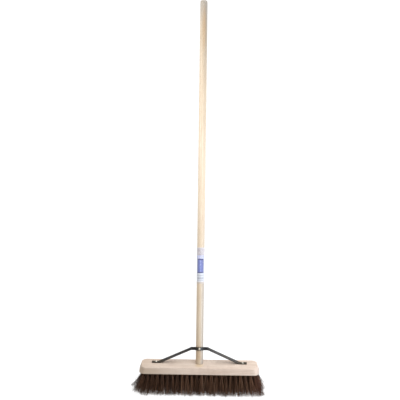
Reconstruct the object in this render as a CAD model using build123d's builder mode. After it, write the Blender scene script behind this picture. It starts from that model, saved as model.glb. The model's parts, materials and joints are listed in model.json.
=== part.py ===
"""Push broom: a wooden head stock full of bristle tufts, a leaning handle and a bent strap stay.

Units are millimetres. X runs along the head, Y runs from the front of the head towards the side
the handle leans to, and Z is up. The trimmed bristle tips stand on Z = 0. The origin is the middle
of the broom's footprint: midway along the head, and midway between the frontmost bristles and the
handle's free end.
"""
import os
from math import cos, degrees, hypot, radians, sin

from build123d import *

os.makedirs("parts", exist_ok=True)

# ---------------------------------------------------------------- driving dimensions

# head stock, the wooden block
stock_length = 457.0
stock_depth = 64.0
stock_height = 29.0
stock_corner_radius = 20.0
stock_end_taper = 9.5
stock_top_easing = 2.5
stock_bottom_easing = 1.5

# bristle tufts
trim_length = 81.0
tufts_in_long_row = 24
tuft_pitch = 18.5
row_count = 5
row_pitch = 12.5
tuft_hole_radius = 3.6
tuft_hole_depth = 11.0
tuft_shank_radius = 3.5
tuft_tip_radius = 8.8
row_splay_ratio = 1.58
end_splay = 25.0
end_splay_power = 8

# wire anchors that pin the tufts in their holes
anchor_length = 6.8
anchor_thickness = 0.8
anchor_height = 1.7
anchor_clearance = 0.1

# handle
handle_radius = 14.0
handle_length = 1400.0
handle_lean = radians(25.0)
handle_top_rounding = 9.0
handle_entry_behind_middle = 7.5
handle_end_radius = 10.5
socket_depth = 22.0
socket_clearance = 0.1
socket_keep_clear = 15.0

# stay, the bent strap
strap_width = 12.0
strap_thickness = 3.2
arm_tilt = radians(14.0)
saddle_height = 54.5
saddle_wrap = radians(70.0)
saddle_gap = 0.1
ear_bend_radius = 4.0
upper_bend_x = 31.0
upper_bend_radius = 16.0
lower_bend_x = 152.0
lower_bend_radius = 30.0
foot_end_x = 180.0
foot_behind_middle = 7.0

# screws
foot_screw_x = 164.0
foot_screw_length = 18.0
handle_screw_length = 18.0
screw_radius = 2.2
screw_head_radius = 4.5
screw_head_height = 2.6
screw_point_length = 5.0
screw_slot_width = 1.2
screw_slot_depth = 1.0
screw_clearance = 0.1
screw_slot_turns = {"handle": 65, "left": 35, "right": -20}
strap_hole_radius = 2.5

# paper label round the front of the handle
label_start = 302.0
label_length = 136.0
label_thickness = 0.25
label_gap = 0.02
label_wrap = radians(230.0)

# ---------------------------------------------------------------- derived positions

stock_bottom = trim_length
stock_top = stock_bottom + stock_height
tuft_hole_top = stock_bottom + tuft_hole_depth
outer_row_offset = row_pitch * (row_count - 1) / 2

handle_axis = Vector(0, sin(handle_lean), cos(handle_lean))
handle_front = Vector(0, -cos(handle_lean), sin(handle_lean))
handle_visible = handle_length - socket_depth

front_reach = outer_row_offset * row_splay_ratio + tuft_tip_radius
top_corner_along = handle_visible - handle_top_rounding
back_reach = (handle_entry_behind_middle + top_corner_along * sin(handle_lean)
              + (handle_radius - handle_top_rounding) * cos(handle_lean) + handle_top_rounding)
middle_y = (front_reach - back_reach) / 2

entry = Vector(0, middle_y + handle_entry_behind_middle, stock_top)
foot_y = middle_y + foot_behind_middle
socket_middle_y = entry.Y - socket_depth / 2 * sin(handle_lean)


def handle_plane(along):
    """The plane square to the handle, this far up from where it enters the stock."""
    return Plane(origin=entry + handle_axis * along, x_dir=(1, 0, 0), z_dir=handle_axis)


# ---------------------------------------------------------------- tuft layout


def row_tufts(row):
    """Hole centre and tip centre of every tuft in a row; row 0 is the front one."""
    offset = row * row_pitch - outer_row_offset
    count = tufts_in_long_row - row % 2
    places = []
    for index in range(count):
        x = (index - (count - 1) / 2) * tuft_pitch
        y = middle_y + offset
        if hypot(x, y - socket_middle_y) < socket_keep_clear:
            continue
        reach = abs(x) / ((tufts_in_long_row - 1) / 2 * tuft_pitch)
        shift = end_splay * reach**end_splay_power
        tip_x = x + shift if x > 0 else x - shift
        tip_y = middle_y + offset * row_splay_ratio
        places.append(((x, y), (tip_x, tip_y)))
    return places


# ---------------------------------------------------------------- stay geometry

saddle_middle = entry + handle_axis * saddle_height
saddle_centre_radius = handle_radius + saddle_gap + strap_thickness / 2
ear_drop = ((saddle_centre_radius + ear_bend_radius) * cos(saddle_wrap)) - ear_bend_radius
ear_x = (saddle_centre_radius + ear_bend_radius) * sin(saddle_wrap)
ear_level = saddle_middle + handle_front * ear_drop


def saddle_stations():
    """Half of the saddle, from its middle outwards: centre, direction of travel, width direction."""
    steps = 10
    stations = []
    for index in range(steps + 1):
        angle = saddle_wrap * index / steps
        out = Vector(sin(angle), 0, 0) + handle_front * cos(angle)
        along = Vector(cos(angle), 0, 0) - handle_front * sin(angle)
        stations.append((saddle_middle + out * saddle_centre_radius, along, handle_axis))
    bend_steps = 6
    bend_middle = saddle_middle + (Vector(sin(saddle_wrap), 0, 0) + handle_front * cos(saddle_wrap)) * (
        saddle_centre_radius + ear_bend_radius)
    for index in range(1, bend_steps + 1):
        angle = saddle_wrap * (1 - index / bend_steps)
        out = Vector(sin(angle), 0, 0) + handle_front * cos(angle)
        along = Vector(cos(angle), 0, 0) - handle_front * sin(angle)
        stations.append((bend_middle - out * ear_bend_radius, along, handle_axis))
    return stations


def rounded(corner, before, after, radius, steps):
    """Points and directions along a round bend at a corner between two straight runs."""
    way_in = (corner - before).normalized()
    way_out = (after - corner).normalized()
    turn = radians(way_in.get_angle(way_out))
    inward = (way_out - way_in).normalized()
    middle = corner + inward * (radius / cos(turn / 2))
    bend = []
    for index in range(steps + 1):
        angle = turn * (index / steps - 0.5)
        out = inward * -cos(angle) + (way_in + way_out).normalized() * sin(angle)
        along = inward * sin(angle) + (way_in + way_out).normalized() * cos(angle)
        bend.append((middle + out * radius, along))
    return bend


def arm_stations():
    """One arm, from the saddle's ear out to the end of the foot.

    Between its two bends the strap is turned a little about its own length, back edge up.
    """
    ear = Vector(ear_x, ear_level.Y, ear_level.Z)
    upper = Vector(upper_bend_x, ear_level.Y, ear_level.Z)
    lower = Vector(lower_bend_x, foot_y, stock_top + strap_thickness / 2)
    foot = Vector(foot_end_x, foot_y, stock_top + strap_thickness / 2)
    level = Vector(0, 1, 0)
    tilted = Vector(0, cos(arm_tilt), sin(arm_tilt))
    stations = []
    twist_steps = 6
    upper_bend = rounded(upper, ear, lower, upper_bend_radius, twist_steps)
    for index, (point, along) in enumerate(upper_bend):
        share = (index + 1) / (twist_steps + 1)
        across = handle_axis * (1 - share) + tilted * share
        stations.append((point, along, across))
    lower_bend = rounded(lower, upper, foot, lower_bend_radius, twist_steps)
    for index, (point, along) in enumerate(lower_bend):
        share = index / twist_steps
        across = tilted * (1 - share) + level * share
        stations.append((point, along, across))
    stations.append((foot, Vector(1, 0, 0), level))
    return stations


def mirrored(station):
    """The same station on the other arm, still travelling towards +X."""
    point, along, across = station
    return (Vector(-point.X, point.Y, point.Z), Vector(along.X, -along.Y, -along.Z), across)


def station_plane(point, along, across):
    """The plane of the strap's section, with its own X across the strap."""
    square = (across - along * across.dot(along)).normalized()
    return Plane(origin=point, x_dir=square, z_dir=along)


right_half = saddle_stations() + arm_stations()
left_half = [mirrored(station) for station in right_half[1:]]
stay_stations = left_half[::-1] + right_half

foot_screw_places = {"left": -foot_screw_x, "right": foot_screw_x}
foot_seat = stock_top + strap_thickness
saddle_seat = saddle_middle + handle_front * (handle_radius + saddle_gap + strap_thickness)
saddle_seat_plane = Plane(origin=saddle_seat, x_dir=(1, 0, 0), z_dir=handle_front)

# ---------------------------------------------------------------- head stock

with BuildPart() as head_stock:
    # the ends lean inwards, so the top face is shorter than the underside
    top_length = stock_length - 2 * stock_end_taper
    for level, length in ((stock_bottom, stock_length), (stock_top, top_length)):
        with BuildSketch(Plane.XY.offset(level)):
            with Locations((0, middle_y)):
                RectangleRounded(length, stock_depth, stock_corner_radius)
    loft(ruled=True)
    fillet(head_stock.faces().sort_by(Axis.Z)[-1].edges(), stock_top_easing)
    fillet(head_stock.faces().sort_by(Axis.Z)[0].edges(), stock_bottom_easing)
    # blind holes for the tufts
    for row in range(row_count):
        with BuildSketch(Plane.XY.offset(stock_bottom)):
            with Locations([hole for hole, tip in row_tufts(row)]):
                Circle(tuft_hole_radius)
        extrude(amount=tuft_hole_depth, mode=Mode.SUBTRACT)
    # tapered socket for the handle, running out through the top face
    with BuildSketch(handle_plane(-socket_depth - socket_clearance)):
        Circle(handle_end_radius + socket_clearance)
    with BuildSketch(handle_plane(0)):
        Circle(handle_radius + socket_clearance)
    loft(mode=Mode.SUBTRACT)
    with BuildSketch(handle_plane(0)):
        Circle(handle_radius + socket_clearance)
    extrude(amount=handle_radius, mode=Mode.SUBTRACT)
    # pilot holes for the two foot screws
    with BuildSketch(Plane.XY.offset(stock_top)):
        with Locations((-foot_screw_x, foot_y), (foot_screw_x, foot_y)):
            Circle(screw_radius + screw_clearance)
    extrude(amount=strap_thickness - foot_screw_length - screw_clearance, mode=Mode.SUBTRACT)

# ---------------------------------------------------------------- handle

with BuildPart() as handle:
    with BuildSketch(handle_plane(-socket_depth)):
        Circle(handle_end_radius)
    with BuildSketch(handle_plane(0)):
        Circle(handle_radius)
    loft()
    with BuildSketch(handle_plane(0)):
        Circle(handle_radius)
    extrude(amount=handle_visible)
    free_end = handle.edges().filter_by(GeomType.CIRCLE).sort_by(Axis.Z)[-1]
    fillet(free_end, handle_top_rounding)
    # pilot hole for the screw that holds the saddle
    with BuildSketch(saddle_seat_plane):
        Circle(screw_radius + screw_clearance)
    extrude(amount=-handle_screw_length - screw_clearance, mode=Mode.SUBTRACT)

# ---------------------------------------------------------------- stay

with BuildPart() as stay:
    for point, along, across in stay_stations:
        with BuildSketch(station_plane(point, along, across)):
            Rectangle(strap_width, strap_thickness)
    loft(ruled=True)
    with BuildSketch(Plane.XY.offset(stock_top - strap_thickness)):
        with Locations((-foot_screw_x, foot_y), (foot_screw_x, foot_y)):
            Circle(strap_hole_radius)
    extrude(amount=3 * strap_thickness, mode=Mode.SUBTRACT)
    with BuildSketch(saddle_seat_plane.offset(strap_thickness)):
        Circle(strap_hole_radius)
    extrude(amount=-3 * strap_thickness, mode=Mode.SUBTRACT)

# ---------------------------------------------------------------- screws


def screw_profile(length):
    """Half section of a round-headed wood screw: seat at height 0, head above, point below."""
    with BuildSketch(Plane.XZ) as profile:
        with BuildLine():
            Polyline((0, -length), (screw_radius, screw_point_length - length), (screw_radius, 0),
                     (screw_head_radius, 0), (screw_head_radius, screw_head_height * 0.25))
            ThreePointArc((screw_head_radius, screw_head_height * 0.25),
                          (screw_head_radius * 0.72, screw_head_height * 0.78),
                          (0, screw_head_height))
            Line((0, screw_head_height), (0, -length))
        make_face()
    return profile.sketch


def screw_at(seat, length, slot_turn):
    """A round-headed screw seated on a plane, with its slot turned by an angle in degrees."""
    with BuildPart() as screw:
        with BuildSketch(Plane.XZ):
            add(screw_profile(length))
        revolve(axis=Axis.Z)
        with BuildSketch(Plane.XY.offset(screw_head_height)):
            Rectangle(3 * screw_head_radius, screw_slot_width, rotation=slot_turn)
        extrude(amount=-screw_slot_depth, mode=Mode.SUBTRACT)
    return screw.part.moved(seat.location)


foot_screws = {}
for side, x in foot_screw_places.items():
    seat = Plane(origin=(x, foot_y, foot_seat), x_dir=(1, 0, 0), z_dir=(0, 0, 1))
    foot_screws[side] = screw_at(seat, foot_screw_length, screw_slot_turns[side])
handle_screw = screw_at(saddle_seat_plane, handle_screw_length, screw_slot_turns["handle"])

# ---------------------------------------------------------------- tufts and their anchors

tuft_rows = []
anchor_rows = []
tuft_top = tuft_hole_top - anchor_height - 2 * anchor_clearance
for row in range(row_count):
    with BuildPart() as tuft_row:
        for hole, tip in row_tufts(row):
            with BuildSketch(Plane.XY.offset(tuft_top)):
                with Locations(hole):
                    Circle(tuft_shank_radius)
            with BuildSketch(Plane.XY.offset(stock_bottom)):
                with Locations(hole):
                    Circle(tuft_shank_radius)
            with BuildSketch(Plane.XY):
                with Locations(tip):
                    Circle(tuft_tip_radius)
            loft(ruled=True)
    tuft_rows.append(tuft_row.part)
    with BuildPart() as anchor_row:
        with BuildSketch(Plane.XY.offset(tuft_hole_top - anchor_clearance)):
            with Locations([hole for hole, tip in row_tufts(row)]):
                Rectangle(anchor_length, anchor_thickness)
        extrude(amount=-anchor_height)
    anchor_rows.append(anchor_row.part)

# ---------------------------------------------------------------- label

with BuildPart() as handle_label:
    with BuildSketch(handle_plane(label_start)):
        inner_radius = handle_radius + label_gap
        outer_radius = inner_radius + label_thickness
        half_wrap = label_wrap / 2
        with BuildLine():
            # the sketch's own -Y is the front of the handle
            CenterArc((0, 0), outer_radius, -90 - degrees(half_wrap), degrees(label_wrap))
            CenterArc((0, 0), inner_radius, -90 - degrees(half_wrap), degrees(label_wrap))
            for side in (-1, 1):
                edge_x = side * sin(half_wrap)
                edge_y = -cos(half_wrap)
                Line((edge_x * inner_radius, edge_y * inner_radius),
                     (edge_x * outer_radius, edge_y * outer_radius))
        make_face()
    extrude(amount=label_length)

# ---------------------------------------------------------------- export

pieces = {
    "head_stock": head_stock.part,
    "handle": handle.part,
    "stay": stay.part,
    "stay_handle_screw": handle_screw,
    "stay_foot_screw_left": foot_screws["left"],
    "stay_foot_screw_right": foot_screws["right"],
    "handle_label": handle_label.part,
}
for row in range(row_count):
    pieces[f"tuft_row_{row + 1}"] = tuft_rows[row]
    pieces[f"tuft_anchors_row_{row + 1}"] = anchor_rows[row]

for label, piece in pieces.items():
    piece.label = label
    export_step(piece, f"parts/{label}.step")
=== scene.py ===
import json
from math import atan2, cos, hypot, pi, radians, sin

import bpy
import numpy as np
from mathutils import Matrix, Vector


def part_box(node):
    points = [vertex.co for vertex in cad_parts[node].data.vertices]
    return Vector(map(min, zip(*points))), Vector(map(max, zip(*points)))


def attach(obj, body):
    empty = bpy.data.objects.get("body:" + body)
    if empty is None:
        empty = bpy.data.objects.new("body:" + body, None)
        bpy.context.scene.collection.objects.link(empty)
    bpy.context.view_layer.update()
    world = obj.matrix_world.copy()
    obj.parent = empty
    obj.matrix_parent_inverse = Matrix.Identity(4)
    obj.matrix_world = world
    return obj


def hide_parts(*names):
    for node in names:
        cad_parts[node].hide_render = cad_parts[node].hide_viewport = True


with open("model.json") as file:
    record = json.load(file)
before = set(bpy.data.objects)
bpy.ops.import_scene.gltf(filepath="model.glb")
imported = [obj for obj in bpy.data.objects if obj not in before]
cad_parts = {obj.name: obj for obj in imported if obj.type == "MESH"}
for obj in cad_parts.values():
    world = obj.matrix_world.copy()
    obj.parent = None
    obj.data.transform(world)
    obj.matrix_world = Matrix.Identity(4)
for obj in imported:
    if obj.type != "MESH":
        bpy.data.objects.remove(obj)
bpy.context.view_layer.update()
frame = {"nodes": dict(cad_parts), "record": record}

nodes = frame["nodes"]
mounts = {m["name"]: m for m in frame["record"]["mounts"]}

# ---------------------------------------------------------------- places taken from the frame

stock_low, stock_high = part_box("head_stock")
stock_bottom, stock_top = stock_low[2], stock_high[2]
middle_y = (stock_low[1] + stock_high[1]) / 2
half_length = (stock_high[0] - stock_low[0]) / 2
handle_axis = Vector(mounts["handle_grip"]["axis"]).normalized()
on_axis = Vector(mounts["handle_grip"]["pos_m"])
entry = on_axis + handle_axis * ((stock_top - on_axis.z) / handle_axis.z)
lean = atan2(handle_axis.y, handle_axis.z)
handle_end = Vector(mounts["handle_end"]["pos_m"])
visible_length = (handle_end - entry).length
handle_radius = 0.014

# ---------------------------------------------------------------- node tree helpers


class Tree:
    """A small builder for one material's node tree."""

    def __init__(self, name):
        self.material = bpy.data.materials.new(name)
        self.material.use_nodes = True
        self.tree = self.material.node_tree
        self.tree.nodes.clear()
        out = self.node("ShaderNodeOutputMaterial")
        self.shader = self.node("ShaderNodeBsdfPrincipled")
        self.fill(out.inputs["Surface"], self.shader.outputs["BSDF"])

    def node(self, kind, **settings):
        made = self.tree.nodes.new(kind)
        for key, value in settings.items():
            setattr(made, key, value)
        return made

    def fill(self, socket, value):
        """Set an input to a number or a colour, or link it to another node's output."""
        if isinstance(value, (int, float)):
            socket.default_value = value
        elif isinstance(value, tuple):
            socket.default_value = (*value[:3], 1.0)
        else:
            self.tree.links.new(value, socket)

    def coords(self, location=(0, 0, 0), rotation=(0, 0, 0), scale=(1, 1, 1)):
        """Object coordinates moved, then turned, then scaled, in that order."""
        vector = self.node("ShaderNodeTexCoord").outputs["Object"]
        back = [-v for v in location]
        for socket, value in (("Location", back), ("Rotation", rotation), ("Scale", scale)):
            step = self.node("ShaderNodeMapping", vector_type="POINT")
            step.inputs[socket].default_value = value
            self.fill(step.inputs["Vector"], vector)
            vector = step.outputs["Vector"]
        return vector

    def noise(self, vector, scale, detail=4.0, roughness=0.55, distortion=0.0):
        made = self.node("ShaderNodeTexNoise")
        made.inputs["Scale"].default_value = scale
        made.inputs["Detail"].default_value = detail
        made.inputs["Roughness"].default_value = roughness
        made.inputs["Distortion"].default_value = distortion
        self.fill(made.inputs["Vector"], vector)
        return made.outputs["Fac"]

    def ramp(self, value, stops, interpolation="LINEAR"):
        """Colour ramp; stops are (position, grey or colour)."""
        made = self.node("ShaderNodeValToRGB")
        ramp = made.color_ramp
        ramp.interpolation = interpolation
        while len(ramp.elements) > 1:
            ramp.elements.remove(ramp.elements[-1])
        for index, (position, colour) in enumerate(stops):
            element = ramp.elements[0] if index == 0 else ramp.elements.new(position)
            element.position = position
            if isinstance(colour, (int, float)):
                colour = (colour, colour, colour)
            element.color = (*colour[:3], 1.0)
        self.fill(made.inputs["Fac"], value)
        return made.outputs["Color"]

    def mix(self, factor, a, b):
        """Colour a where factor is 0, colour b where it is 1."""
        made = self.node("ShaderNodeMix", data_type="RGBA", clamp_factor=True)
        # the node's first input is the factor, and its colours are numbers 6 and 7
        for index, value in ((0, factor), (6, a), (7, b)):
            self.fill(made.inputs[index], value)
        return made.outputs[2]

    def math(self, operation, a, b=0.0):
        made = self.node("ShaderNodeMath", operation=operation)
        for socket, value in zip(made.inputs, (a, b)):
            self.fill(socket, value)
        return made.outputs[0]

    def split(self, vector):
        made = self.node("ShaderNodeSeparateXYZ")
        self.fill(made.inputs[0], vector)
        return made.outputs

    def bump(self, height, strength, distance):
        made = self.node("ShaderNodeBump")
        made.inputs["Strength"].default_value = strength
        made.inputs["Distance"].default_value = distance
        self.fill(made.inputs["Height"], height)
        return made.outputs["Normal"]

    def set(self, **values):
        """Fill the shader's inputs and return the material."""
        names = {"colour": "Base Color", "roughness": "Roughness", "metallic": "Metallic",
                 "normal": "Normal", "coat": "Coat Weight", "coat_roughness": "Coat Roughness",
                 "specular": "Specular IOR Level", "emission": "Emission Color",
                 "emission_strength": "Emission Strength"}
        for key, value in values.items():
            self.fill(self.shader.inputs[names[key]], value)
        return self.material


# ---------------------------------------------------------------- wood


def wood(name, coords, length_axis, pale, mid, dark, fleck, streak_scale, roughness):
    """Straight-grained wood: streaks, fine pores and short flecks, drawn out along the grain.

    Returns the tree with its colour, roughness and normal, for more to be laid over them.
    """
    grain_stretch, fleck_stretch = 0.035, 0.16
    tree = Tree(name)
    location, rotation = coords
    stretch = [1.0, 1.0, 1.0]
    stretch[length_axis] = grain_stretch
    grain_space = tree.coords(location, rotation, stretch)
    broad = tree.noise(grain_space, streak_scale, 3.0, 0.5, 0.6)
    fine = tree.noise(grain_space, streak_scale * 7, 6.0, 0.65, 0.2)
    fibre = tree.noise(grain_space, streak_scale * 28, 3.0, 0.6)
    stretch[length_axis] = fleck_stretch
    fleck_space = tree.coords(location, rotation, stretch)
    flecks = tree.noise(fleck_space, 1500, 2.0, 0.5)
    patches = tree.noise(tree.coords(location, rotation), 9, 3.0, 0.55)
    colour = tree.mix(tree.ramp(broad, [(0.30, 0.0), (0.70, 1.0)]), pale, mid)
    colour = tree.mix(tree.ramp(fine, [(0.50, 0.0), (0.78, 0.75)]), colour, dark)
    colour = tree.mix(tree.ramp(fibre, [(0.35, 0.22), (0.60, 0.0)]), colour, dark)
    colour = tree.mix(tree.ramp(flecks, [(0.62, 0.0), (0.72, 0.55)]), colour, fleck)
    colour = tree.mix(tree.ramp(patches, [(0.35, 0.0), (0.70, 0.16)]), colour, fleck)
    rough = tree.ramp(fine, [(0.3, roughness - 0.07), (0.75, roughness + 0.12)])
    height = tree.math("ADD", tree.math("MULTIPLY", fine, 0.6), tree.math("MULTIPLY", fibre, 0.4))
    normal = tree.bump(height, 0.35, 0.0004)
    return tree, colour, rough, normal


def blob(tree, space, centre, size):
    """A soft round patch: 1 at its centre, 0 at the given distances from it."""
    total = 0.0
    for part, middle, reach in zip(tree.split(space), centre, size):
        far = tree.math("MULTIPLY", tree.math("SUBTRACT", part, middle), 1 / reach)
        total = tree.math("ADD", tree.math("MULTIPLY", far, far), total)
    return tree.ramp(total, [(0.0, 1.0), (0.35, 0.6), (1.0, 0.0)])


def stock_material():
    """Pale beech: end rings, grime, painted shade left and light right, a varnish run at the
    handle.
    """
    centre = (0.0, middle_y, stock_bottom)
    thickness = stock_top - stock_bottom
    tree, colour, rough, normal = wood(
        "stock_beech", (centre, (0, 0, 0)), 0, (0.80, 0.675, 0.57), (0.72, 0.585, 0.485),
        (0.50, 0.36, 0.265), (0.46, 0.30, 0.21), 42, 0.50)
    space = tree.coords(centre)
    x, _, z = tree.split(space)
    # place along the block: -1 at the left end, 1 at the right end
    place_x = tree.math("MULTIPLY", x, 1 / half_length)
    # end grain: rings seen on the two ends, a little darker because the ends drink in dirt
    end = tree.ramp(tree.math("ABSOLUTE", place_x), [(0.945, 0.0), (0.985, 0.75)])
    ring_middle = (0.0, middle_y - 0.02, stock_bottom - 0.09)
    ring_space = tree.coords(ring_middle, scale=(0.0, 1.0, 1.0))
    rings = tree.node("ShaderNodeTexWave", wave_type="RINGS", rings_direction="SPHERICAL")
    rings.inputs["Scale"].default_value = 110
    rings.inputs["Distortion"].default_value = 2.5
    rings.inputs["Detail"].default_value = 3
    tree.fill(rings.inputs["Vector"], ring_space)
    ringed = tree.mix(tree.ramp(rings.outputs["Fac"], [(0.1, 0.0), (0.9, 1.0)]),
                      (0.60, 0.45, 0.345), (0.45, 0.315, 0.22))
    colour = tree.mix(end, colour, ringed)
    # dust and handling grime in soft patches, more towards the underside
    low = tree.ramp(tree.math("MULTIPLY", z, 1 / thickness), [(0.0, 0.5), (0.22, 0.0)])
    grime = tree.ramp(tree.noise(space, 26, 5, 0.6), [(0.46, 0.0), (0.72, 0.30)])
    colour = tree.mix(tree.math("MAXIMUM", grime, low), colour, (0.42, 0.31, 0.235))
    # painted shade: the left part is darker, on its sides more than on its top
    painted_left_shade = tree.ramp(tree.math("MULTIPLY", place_x, -1.0), [(0.15, 0.0), (1.0, 0.95)])
    painted_left_shade = tree.math("MULTIPLY", painted_left_shade, tree.ramp(z, [(0.020, 1.0), (0.028, 0.40)]))
    colour = tree.mix(painted_left_shade, colour, (0.47, 0.36, 0.26))
    # painted light: the right end is paler and cooler, as lit from the right
    pale = tree.ramp(place_x, [(0.945, 0.0), (0.985, 0.28)])
    colour = tree.mix(pale, colour, (0.52, 0.51, 0.52))
    # varnish has run out in front of the handle
    stain_middle = (0.0, entry.y - middle_y - 0.018, thickness)
    stain = blob(tree, space, stain_middle, (0.020, 0.017, 0.01))
    colour = tree.mix(tree.math("MULTIPLY", stain, 0.55), colour, (0.64, 0.47, 0.24))
    return tree.set(colour=colour, roughness=rough, normal=normal)


def handle_material():
    """Lacquered wood: browner near the block, painted shade low on the left and on the right, a
    greyer free end, one streak.
    """
    tree, colour, rough, normal = wood(
        "handle_wood", (tuple(entry), (lean, 0, 0)), 2, (0.83, 0.715, 0.565), (0.74, 0.61, 0.455),
        (0.52, 0.39, 0.255), (0.47, 0.32, 0.19), 55, 0.40)
    space = tree.coords(tuple(entry), (lean, 0, 0))
    x, _, along = tree.split(space)
    from_left = tree.math("ADD", x, handle_radius)
    # 0 where the handle leaves the block: 1 after the lowest 10 cm, and after the lowest 62 cm
    foot_share = tree.math("MULTIPLY", along, 1 / 0.10)
    low_share = tree.math("MULTIPLY", along, 1 / 0.62)
    # 1 at the free end, less by 1 for each metre below it
    top_share = tree.math("SUBTRACT", along, visible_length - 1.0)
    # warmer near the block
    low = tree.ramp(foot_share, [(0.0, 0.10), (0.22, 0.58), (0.50, 0.45), (1.0, 0.05)])
    colour = tree.mix(low, colour, (0.58, 0.38, 0.20))
    # painted shade: browner and darker on the left side low down
    left_shade_low = tree.ramp(low_share, [(0.0, 0.50), (0.60, 0.50), (1.0, 0.10)])
    left = tree.ramp(from_left, [(0.003, 1.0), (0.017, 0.0)])
    colour = tree.mix(tree.math("MULTIPLY", left_shade_low, left), colour, (0.52, 0.385, 0.26))
    # painted shade: darker on the right side low down and near the free end
    shaded_low = tree.ramp(low_share, [(0.0, 1.0), (0.50, 0.85), (0.75, 0.35), (1.0, 0.0)])
    shaded_top = tree.ramp(top_share, [(0.66, 0.0), (0.95, 0.85)])
    right = tree.ramp(from_left, [(0.014, 0.0), (0.026, 1.0)])
    shaded = tree.math("MULTIPLY", tree.math("MAXIMUM", shaded_low, shaded_top), right)
    colour = tree.mix(shaded, colour, (0.36, 0.315, 0.265))
    # greyer at the free end
    top = tree.ramp(top_share, [(0.88, 0.0), (0.985, 0.72)])
    colour = tree.mix(top, colour, (0.52, 0.475, 0.42))
    # an orange-brown streak in the grain below the free end
    wander = tree.noise(tree.coords(tuple(entry), (lean, 0, 0), (1, 1, 0.1)), 60, 3, 0.6)
    streak = blob(tree, space, (0.0025, -0.014, visible_length - 0.105), (0.0090, 0.014, 0.100))
    streak = tree.math("MULTIPLY", streak, tree.ramp(wander, [(0.35, 0.50), (0.60, 1.0)]))
    colour = tree.mix(streak, colour, (0.60, 0.40, 0.215))
    return tree.set(colour=colour, roughness=rough, normal=normal, coat=0.25, coat_roughness=0.3)


# ---------------------------------------------------------------- metal and paper


def stay_material():
    """Worn black steel."""
    tree = Tree("stay_black_steel")
    space = tree.coords((0.0, middle_y, stock_top))
    x, _, z = tree.split(space)
    broad = tree.noise(space, 35, 5, 0.6)
    fine = tree.noise(space, 420, 4, 0.6)
    colour = tree.mix(tree.ramp(broad, [(0.38, 0.0), (0.62, 1.0)]),
                      (0.036, 0.036, 0.038), (0.058, 0.051, 0.044))
    worn = tree.ramp(fine, [(0.60, 0.0), (0.70, 1.0)])
    colour = tree.mix(tree.math("MULTIPLY", worn, 0.5), colour, (0.17, 0.155, 0.14))
    # the upper part keeps its black; brown shows at the feet and in the middle, where it is rubbed
    upper = tree.ramp(z, [(0.040, 0.0), (0.049, 0.85)])
    colour = tree.mix(upper, colour, (0.010, 0.010, 0.010))
    feet = tree.ramp(tree.math("ABSOLUTE", x), [(0.125, 0.0), (0.150, 0.90)])
    from_saddle = tree.math("ABSOLUTE", tree.math("ADD", x, 0.005))
    saddle = tree.ramp(from_saddle, [(0.004, 0.55), (0.011, 0.0)])
    rubbed = tree.math("MULTIPLY", tree.math("MAXIMUM", feet, saddle),
                       tree.ramp(broad, [(0.3, 0.6), (0.6, 1.0)]))
    colour = tree.mix(rubbed, colour, (0.045, 0.029, 0.012))
    rough = tree.ramp(broad, [(0.35, 0.34), (0.70, 0.52)])
    normal = tree.bump(fine, 0.2, 0.0003)
    return tree.set(colour=colour, roughness=rough, metallic=0.15, specular=0.42, normal=normal)


def screw_material(name):
    """Dull zinc with fine scratches."""
    tree = Tree(name)
    space = tree.coords((0.0, middle_y, stock_top))
    cloud = tree.noise(space, 300, 4, 0.6)
    scratch = tree.noise(tree.coords((0, 0, 0), (0.3, 0.4, 0.9), (1, 0.08, 1)), 2600, 3, 0.6)
    colour = tree.mix(tree.ramp(cloud, [(0.35, 0.0), (0.70, 1.0)]),
                      (0.66, 0.62, 0.54), (0.46, 0.42, 0.34))
    rough = tree.ramp(scratch, [(0.3, 0.22), (0.7, 0.42)])
    normal = tree.bump(scratch, 0.2, 0.0001)
    return tree.set(colour=colour, roughness=rough, metallic=1.0, normal=normal)


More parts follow.
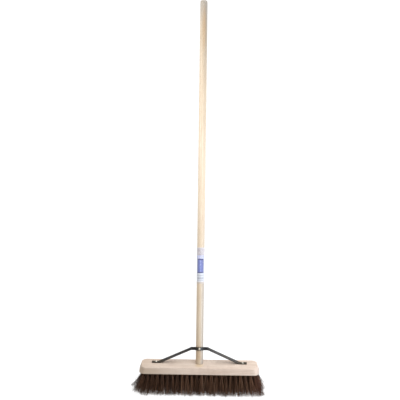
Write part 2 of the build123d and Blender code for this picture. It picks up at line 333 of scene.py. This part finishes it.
def label_material():
    """A printed label with no lettering: a framed blue panel, plain fields, flecks and rules."""
    tree = Tree("printed_label")
    # along the handle from the block, and half the panel's width
    label_low, label_high = 0.302, 0.438
    panel_reach = 0.0109
    space = tree.coords(tuple(entry), (lean, 0, 0))
    x, y, along = tree.split(space)
    share = tree.math("DIVIDE", tree.math("SUBTRACT", along, label_low), label_high - label_low)
    white, bluish = (0.66, 0.67, 0.72), (0.62, 0.64, 0.69)
    mauve, pink = (0.58, 0.54, 0.56), (0.58, 0.51, 0.46)
    ground = tree.ramp(share, [(0.0, pink), (0.050, white), (0.076, bluish), (0.290, white),
                               (0.785, mauve), (0.985, white)], "CONSTANT")
    blotch = tree.noise(space, 330, 3, 0.6)
    fibre = tree.noise(space, 900, 5, 0.65)
    # grey flecks above the panel and blue ones next to it
    marks = tree.ramp(share, [(0.0, 0.0), (0.785, 0.75), (0.97, 0.0)], "CONSTANT")
    marks = tree.math("MULTIPLY", marks, tree.ramp(blotch, [(0.50, 0.0), (0.60, 1.0)]))
    colour = tree.mix(marks, ground, (0.33, 0.29, 0.34))
    specks = tree.ramp(share, [(0.0, 0.0), (0.690, 0.65), (0.785, 0.0)], "CONSTANT")
    specks = tree.math("MULTIPLY", specks, tree.ramp(blotch, [(0.40, 0.15), (0.54, 1.0)]))
    colour = tree.mix(specks, colour, (0.36, 0.40, 0.80))
    # the panel faces the front: lavender, mottled, with a deep blue frame
    from_middle = tree.math("ABSOLUTE", x)
    facing = tree.ramp(y, [(0.0, 1.0), (0.0005, 0.0)], "CONSTANT")
    wide = tree.ramp(from_middle, [(0.0, 1.0), (panel_reach, 0.0)], "CONSTANT")
    wide = tree.math("MULTIPLY", wide, facing)
    tall = tree.ramp(share, [(0.0, 0.0), (0.290, 1.0), (0.690, 0.0)], "CONSTANT")
    from_left = tree.math("ADD", x, panel_reach)
    frame_ink = tree.mix(tree.ramp(from_left, [(0.002, 0.0), (0.020, 1.0)]),
                         (0.185, 0.215, 0.42), (0.115, 0.135, 0.29))
    colour = tree.mix(tree.math("MULTIPLY", wide, tall), colour, frame_ink)
    bars = tree.ramp(share, [(0.0, 0.0), (0.290, 0.8), (0.320, 0.0), (0.658, 0.8),
                             (0.690, 0.0)], "CONSTANT")
    colour = tree.mix(tree.math("MULTIPLY", wide, bars), colour, (0.045, 0.05, 0.17))
    inner_wide = tree.ramp(from_middle, [(0.0, 1.0), (0.0070, 1.0), (0.0092, 0.0)])
    inner_wide = tree.math("MULTIPLY", inner_wide, facing)
    inner_tall = tree.ramp(share, [(0.315, 0.0), (0.335, 1.0), (0.640, 1.0), (0.665, 0.0)])
    centre = tree.ramp(from_middle, [(0.0, 0.0), (0.0055, 0.35)])
    mottled = tree.mix(tree.ramp(tree.math("ADD", blotch, centre), [(0.46, 0.0), (0.72, 1.0)]),
                       (0.37, 0.43, 0.76), (0.15, 0.18, 0.46))
    colour = tree.mix(tree.math("MULTIPLY", inner_wide, inner_tall), colour, mottled)
    # thin grey rules in the lower field
    line = tree.ramp(share, [(0.0, 0.0), (0.082, 0.50), (0.104, 0.0), (0.132, 0.85), (0.166, 0.0),
                             (0.214, 0.50), (0.236, 0.0)], "CONSTANT")
    worn = tree.ramp(blotch, [(0.35, 0.5), (0.55, 1.0)])
    line = tree.math("MULTIPLY", line, tree.math("MULTIPLY", wide, worn))
    colour = tree.mix(line, colour, (0.30, 0.31, 0.36))
    scuff = tree.noise(space, 130, 4, 0.6)
    colour = tree.mix(tree.ramp(scuff, [(0.60, 0.0), (0.70, 0.25)]), colour, (0.74, 0.72, 0.68))
    colour = tree.mix(tree.ramp(fibre, [(0.35, 0.10), (0.65, 0.0)]), colour, (0.40, 0.38, 0.36))
    rough = tree.ramp(scuff, [(0.3, 0.42), (0.7, 0.60)])
    return tree.set(colour=colour, roughness=rough, normal=tree.bump(fibre, 0.15, 0.0002))


def bristle_material():
    """Natural fibre: each strand its own brown, with painted shade at the root under the block and
    greyer at the tip.

    Both attributes come with the mesh: "strand" is a fibre's own number, "along" runs root to tip.
    """
    tree = Tree("bristle_fibre")
    strand = tree.node("ShaderNodeAttribute", attribute_name="strand").outputs["Fac"]
    along = tree.node("ShaderNodeAttribute", attribute_name="along").outputs["Fac"]
    centre = (0.0, middle_y, 0.0)
    mottle = tree.noise(tree.coords(centre, scale=(1, 1, 0.25)), 260, 3, 0.6)
    colour = tree.ramp(strand, [(0.0, (0.020, 0.009, 0.004)), (0.35, (0.050, 0.021, 0.010)),
                                (0.65, (0.115, 0.050, 0.023)), (0.88, (0.22, 0.102, 0.052)),
                                (1.0, (0.38, 0.215, 0.13))])
    colour = tree.mix(tree.ramp(mottle, [(0.4, 0.0), (0.7, 0.5)]), colour, (0.095, 0.040, 0.018))
    # painted shade: darker at the root, under the block
    colour = tree.mix(tree.ramp(along, [(0.0, 0.55), (0.35, 0.0)]), colour, (0.012, 0.006, 0.004))
    colour = tree.mix(tree.ramp(along, [(0.70, 0.0), (1.0, 0.40)]), colour, (0.072, 0.050, 0.030))
    # the bunch at the right end is redder, the outermost fibres at the left end have faded
    x = tree.split(tree.coords(centre))[0]
    red = tree.ramp(x, [(0.190, 0.0), (0.215, 0.25)])
    colour = tree.mix(red, colour, (0.13, 0.036, 0.022))
    outermost = tree.ramp(tree.math("MULTIPLY", x, -1.0), [(0.222, 0.0), (0.250, 0.8)])
    palest = tree.ramp(strand, [(0.45, 0.0), (0.80, 1.0)])
    faded = tree.math("MULTIPLY", outermost, palest)
    colour = tree.mix(faded, colour, (0.30, 0.27, 0.22))
    rough = tree.ramp(mottle, [(0.3, 0.45), (0.7, 0.65)])
    return tree.set(colour=colour, roughness=rough, specular=0.25)


def paint(material, *names):
    for name in names:
        piece = nodes[name]
        piece.data.materials.clear()
        piece.data.materials.append(material)


paint(stock_material(), "head_stock")
paint(handle_material(), "handle")
paint(stay_material(), "stay")
paint(screw_material("zinc_screw"),
      "stay_handle_screw", "stay_foot_screw_left", "stay_foot_screw_right")
paint(screw_material("anchor_wire"), *[f"tuft_anchors_row_{row}" for row in range(1, 6)])
paint(label_material(), "handle_label")

# ---------------------------------------------------------------- bristles, fibre by fibre

# how the tufts stand in the block
rows = 5
middle_row = 2
long_row = 24
tuft_pitch = 0.0185
row_pitch = 0.0125
end_x = (long_row - 1) / 2 * tuft_pitch
socket_keep_clear = 0.015
half_socket_depth = 0.011
socket_middle_y = entry.y - half_socket_depth * sin(lean)

# how far the tufts lean by their tips, front row first where there is one value for each row
row_splay_ratio = 1.58
front_row_lean = 0.004
end_splay_power = 5
left_splay = (0.024, 0.032, 0.036, 0.029, 0.014)
right_splay = (0.0225, 0.0217, 0.0209, 0.0201, 0.0193)
furthest_x = 0.262
socket_zone = 0.024
socket_lean = 0.0060
end_zone_start, end_zone_length = 0.165, 0.048
lean_power_least, lean_power_range, lean_power_end_cut = 1.30, 0.80, 0.6

# the fibres of one tuft, and how they part from each other
first_seed = 710
fibres_per_tuft = 200
locks_per_tuft = 18
bundle_radius = 0.0031
fan_out, fan_out_at_socket, fan_out_scatter = 3.20, 0.4, 0.50
fan_along_block, fan_along_block_at_end = 1.30, 0.15
lean_scatter = 0.0018
lock_shade_scatter, tuft_shade_scatter = 0.20, 0.05
stray_share, stray_scatter, stray_reach = 0.035, 0.005, 0.008

# one fibre: a tube with a few bends, trimmed to length
fibre_points = 6
fibre_sides = 3
fibre_radius = 0.00030
tip_taper = 0.40
depth_in_hole = 0.004
fibre_length = 0.0876
tuft_length_scatter, fibre_length_scatter = 0.0005, 0.0009
short_share, short_by = 0.04, 0.0035
left_end_trim = (0.0085, 0.0050, 0.0015, 0.0015, 0.0015)
right_end_trim = 0.0015
least_drop = 0.35
steps = np.linspace(0.0, 1.0, fibre_points)


def row_tufts(row):
    """Hole of every tuft in a row; row 0 is the front one."""
    y = middle_y + (row - middle_row) * row_pitch
    count = long_row - row % 2
    for index in range(count):
        x = (index - (count - 1) / 2) * tuft_pitch
        if hypot(x, y - socket_middle_y) >= socket_keep_clear:
            yield x, y


def bend(amount, power):
    """Sideways shift along each fibre: none at its root, all of it at its tip."""
    return amount[:, None, :] * steps[None, :, None] ** power[:, None, None]


def crimp(size, turn, count):
    """A small wave along each fibre, growing towards its tip."""
    wave = size[:, None] * np.sin(steps[None] * count[:, None] * 2 * pi + turn[:, None])
    towards = np.stack([np.cos(turn * 3), np.sin(turn * 3)], 1)
    return (wave * steps[None])[:, :, None] * towards[:, None, :]


def tuft_fibres(rng, row, x, y):
    """Centre lines, radii and shades of one tuft's fibres.

    They fall into locks that keep together: each lock has its own shade and its own lean.
    """
    n = fibres_per_tuft
    near_end = max(0.0, abs(x) - end_zone_start) / end_zone_length
    near_socket = max(0.0, 1 - abs(x) / socket_zone) if row else 0.0
    spin = rng.uniform(0, 2 * pi, n)
    out = bundle_radius * np.sqrt(rng.uniform(0, 1, n))
    root = np.c_[x + out * np.cos(spin), y + out * np.sin(spin)]
    # the left end splays less at its corners, the right end almost evenly
    end_splay = left_splay[row] if x < 0 else right_splay[row]
    lean_x = np.sign(x) * end_splay * (np.abs(root[:, 0]) / end_x) ** end_splay_power
    # the tufts round the socket lean in to close the gap it leaves
    lean_x = lean_x - socket_lean * near_socket * np.sign(x)
    lean_y = (row - middle_row) * row_pitch * (row_splay_ratio - 1)
    lean_y -= front_row_lean if row == 0 else 0.0
    fan = fan_out + fan_out_at_socket * near_socket + fan_out_scatter * rng.standard_normal(n)
    fan = fan[:, None] * np.array([fan_along_block + fan_along_block_at_end * near_end, 1.0])
    lock = (spin / (2 * pi) * locks_per_tuft).astype(int)
    lock_reach = rng.normal(0, lean_scatter, (locks_per_tuft, 2))
    lock_shade = rng.normal(0, lock_shade_scatter, locks_per_tuft)
    tuft_lean = np.c_[lean_x, np.full(n, lean_y)] + rng.normal(0, lean_scatter, 2)
    spread = (root - np.array([x, y])) * fan + lock_reach[lock]
    spread = spread + rng.normal(0, lean_scatter, (n, 2))
    stray = rng.uniform(0, 1, n) < stray_share
    astray = rng.normal(0, stray_scatter, (stray.sum(), 2))
    spread[stray] += np.clip(astray, -stray_reach, stray_reach)
    # no fibre reaches further out than the trimmed outline
    over = np.abs(root[:, 0] + tuft_lean[:, 0] + spread[:, 0]) - furthest_x
    spread[:, 0] -= np.sign(x) * np.maximum(0.0, over)
    lean_power = rng.uniform(0.0, lean_power_range, n) * (1 - lean_power_end_cut * near_end)
    lean_power = lean_power_least + lean_power
    spread_power = rng.uniform(0.95, 1.55, n)
    crimp_size = rng.uniform(0.0001, 0.0008, n)
    crimp_turn = rng.uniform(0, 2 * pi, n)
    crimp_count = rng.uniform(0.8, 2.2, n)
    length = fibre_length + rng.normal(0, tuft_length_scatter)
    length = length + rng.normal(0, fibre_length_scatter, n)
    length[rng.uniform(0, 1, n) < short_share] -= short_by
    length -= (left_end_trim[row] if x < 0 else right_end_trim) * near_end**3
    side = (bend(tuft_lean, lean_power) + bend(spread, spread_power)
            + crimp(crimp_size, crimp_turn, crimp_count))
    # each step goes sideways as worked out, and down by what is left of its length
    step_length = length[:, None] / (fibre_points - 1)
    across = np.linalg.norm(np.diff(side, axis=1), axis=2)
    drop = np.sqrt(np.maximum(step_length**2 - across**2, (least_drop * step_length) ** 2))
    down = np.concatenate([np.zeros((n, 1)), np.cumsum(drop, axis=1)], axis=1)
    # a fibre that would pass the floor is shortened to end just above it
    deepest = stock_bottom - rng.uniform(0.0002, 0.0022, n)
    z = stock_bottom - down * np.minimum(1.0, deepest / down[:, -1])[:, None]
    line = np.concatenate([root[:, None, :] + side, z[:, :, None]], axis=2)
    in_hole = np.c_[root, np.full(n, stock_bottom + depth_in_hole)]
    line = np.concatenate([in_hole[:, None, :], line], axis=1)
    taper = np.r_[1.0, 1.0 - tip_taper * steps]
    thickness = fibre_radius * rng.uniform(0.75, 1.25, (n, 1)) * taper[None]
    shade = rng.uniform(0, 1, n) ** 1.2 + lock_shade[lock] + rng.normal(0, tuft_shade_scatter)
    return line, thickness, np.clip(shade, 0, 1)


def row_fibres(row):
    """Centre lines, radii and shades of every fibre of one row."""
    rng = np.random.default_rng(first_seed + row)
    tufts = [tuft_fibres(rng, row, x, y) for x, y in row_tufts(row)]
    return [np.concatenate(part) for part in zip(*tufts)]


def fibre_mesh(name, lines, thickness, strands):
    """Three-sided tubes along the fibres, each closed at its tip."""
    count, points, _ = lines.shape
    sides = np.arange(fibre_sides)
    turn = sides * 2 * pi / fibre_sides + np.linspace(0, 2 * pi, count)[:, None]
    ring = np.stack([np.cos(turn), np.sin(turn), np.zeros_like(turn)], axis=2)
    verts = lines[:, :, None, :] + ring[:, None, :, :] * thickness[:, :, None, None]
    verts = verts.reshape(-1, 3)
    base = np.arange(count)[:, None, None] * points * fibre_sides
    level = base + np.arange(points - 1)[None, :, None] * fibre_sides
    corner = level + sides[None, None, :]
    following = level + ((sides + 1) % fibre_sides)[None, None, :]
    quads = np.stack([corner, following, fibre_sides + following, fibre_sides + corner], axis=3)
    quads = quads.reshape(-1, 4)[:, ::-1]
    caps = base[:, 0, :] + (points - 1) * fibre_sides + sides[None]
    caps = caps[:, ::-1]
    loops = np.concatenate([quads.ravel(), caps.ravel()]).astype(np.int32)
    starts = np.concatenate([np.arange(len(quads)) * 4,
                             len(quads) * 4 + np.arange(len(caps)) * fibre_sides])
    mesh = bpy.data.meshes.new(name)
    mesh.vertices.add(len(verts))
    mesh.vertices.foreach_set("co", verts.astype(np.float32).ravel())
    mesh.loops.add(len(loops))
    mesh.loops.foreach_set("vertex_index", loops)
    mesh.polygons.add(len(starts))
    mesh.polygons.foreach_set("loop_start", starts.astype(np.int32))
    mesh.polygons.foreach_set("use_smooth", np.ones(len(starts), bool))
    mesh.update(calc_edges=True)
    mesh.validate()
    along = np.tile(np.repeat(np.linspace(0, 1, points), fibre_sides), count)
    strand = np.repeat(strands, points * fibre_sides)
    for attribute, values in (("strand", strand), ("along", along)):
        made = mesh.attributes.new(attribute, "FLOAT", "POINT")
        made.data.foreach_set("value", values.astype(np.float32))
    return mesh


def add(name, data):
    """Put a new object with this data into the scene."""
    made = bpy.data.objects.new(name, data)
    bpy.context.scene.collection.objects.link(made)
    return made


bristle = bristle_material()
for row in range(rows):
    name = f"bristles_row_{row + 1}"
    piece = add(name, fibre_mesh(name, *row_fibres(row)))
    piece.data.materials.append(bristle)
    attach(piece, "root")
    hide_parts(f"tuft_row_{row + 1}")

# ---------------------------------------------------------------- floor, light, camera

# large enough to pass the horizon at low viewing angles, and partly self-lit to stay white
far = 300.0
floor_mesh = bpy.data.meshes.new("floor")
floor_mesh.from_pydata([(-far, -far, 0), (far, -far, 0), (far, far, 0), (-far, far, 0)],
                       [], [(0, 1, 2, 3)])
floor = add("floor", floor_mesh)
floor_tree = Tree("floor_white")
floor_cloud = floor_tree.noise(floor_tree.coords(), 3, 3, 0.5)
floor_mesh.materials.append(floor_tree.set(
    colour=floor_tree.ramp(floor_cloud, [(0.3, 0.19), (0.7, 0.21)]),
    roughness=0.9, specular=0.1, emission=(1.0, 1.0, 1.0), emission_strength=0.90))

world = bpy.data.worlds.new("studio")
world.use_nodes = True
background = world.node_tree.nodes["Background"]
background.inputs["Color"].default_value = (1.0, 1.0, 1.0, 1.0)
background.inputs["Strength"].default_value = 0.31
bpy.context.scene.world = world


def light(name, kind, power, place, target, **settings):
    """A light at one place, turned towards another."""
    data = bpy.data.lights.new(name, kind)
    data.energy = power
    for key, value in settings.items():
        setattr(data, key, value)
    lamp = add(name, data)
    lamp.location = place
    lamp.rotation_euler = (Vector(target) - Vector(place)).to_track_quat("-Z", "Y").to_euler()


light("top_back", "SUN", 2.45, (0, 0, 0), (-0.22, -0.22, -0.95), angle=radians(75))
light("right_low", "AREA", 7.2, (0.95, -0.75, 0.45), (0.0, -0.15, 0.40),
      size=0.5, spread=radians(180), color=(0.80, 0.88, 1.0))
light("left_high", "AREA", 1.9, (-0.90, -0.40, 1.25), (0.0, 0.17, 1.10),
      size=0.4, spread=radians(95))
light("middle", "SPOT", 72, (0.6, -2.0, 1.9), (0.0, 0.0, 0.72),
      spot_size=radians(32), spot_blend=1.0, shadow_soft_size=0.25)

camera_distance = 4.5
frame_height = 1.520
camera_up_handle = 0.6187
camera_side = -0.0054
camera_turn = radians(1.75)
sensor_width = 36
camera_data = bpy.data.cameras.new("camera")
camera = add("camera", camera_data)
bpy.context.scene.camera = camera
# the camera looks down square to the handle, and stands a little to the right of it
sight = Vector((-sin(camera_turn), cos(camera_turn), 0))
upright = Vector((0, 0, 1))
right = Vector((cos(camera_turn), sin(camera_turn), 0))
forward = sight * cos(lean) - upright * sin(lean)
up = sight * sin(lean) + upright * cos(lean)
aim = entry + handle_axis * camera_up_handle + right * camera_side
place = aim - forward * camera_distance
camera.matrix_world = Matrix((
    (right.x, up.x, -forward.x, place.x),
    (right.y, up.y, -forward.y, place.y),
    (right.z, up.z, -forward.z, place.z),
    (0, 0, 0, 1)))
camera_data.sensor_fit = "HORIZONTAL"
camera_data.sensor_width = sensor_width
camera_data.lens = sensor_width * camera_distance / frame_height
camera_data.clip_end = 1000

bpy.context.scene.view_settings.view_transform = "Standard"
bpy.context.scene.view_settings.look = "None"
